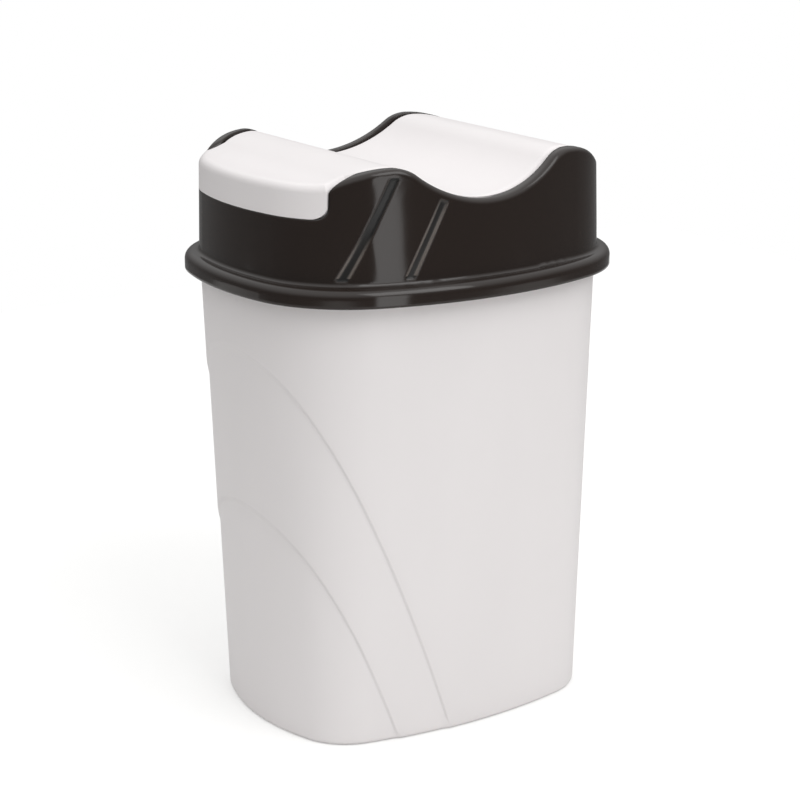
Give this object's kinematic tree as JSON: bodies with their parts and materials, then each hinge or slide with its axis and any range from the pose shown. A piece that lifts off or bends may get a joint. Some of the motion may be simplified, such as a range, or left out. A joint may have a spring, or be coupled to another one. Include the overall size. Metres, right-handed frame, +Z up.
{
  "type": "trash can",
  "caption": "Kitchen waste bin with a white tapered bucket, a dark collar with wave-shaped cheeks and a white rocking lid that follows the wave.",
  "frame": {"origin": "middle of the base outline, on the floor", "axes": "front faces -Y, +X to the right seen from the front, +Z up"},
  "size_m": [0.2612, 0.3014, 0.4226],
  "materials": {
    "white_plastic": "smooth moulded, soft gloss",
    "dark_plastic": "smooth moulded, soft gloss"
  },
  "bodies": {
    "bucket_body": {"bucket": "white_plastic"},
    "collar_body": {"collar": "dark_plastic"},
    "lid_body": {"lid": "white_plastic"}
  },
  "joints": [
    {"name": "collar_lift", "type": "slide", "parent": "bucket_body", "child": "collar_body", "axis": [0, 0, 1], "range_m": [0, 0.12]},
    {"name": "lid_rock", "type": "hinge", "parent": "collar_body", "child": "lid_body", "pos_m": [0, 0.03, 0.3895], "axis": [-1, 0, 0], "range_deg": [0, 60]}
  ]
}
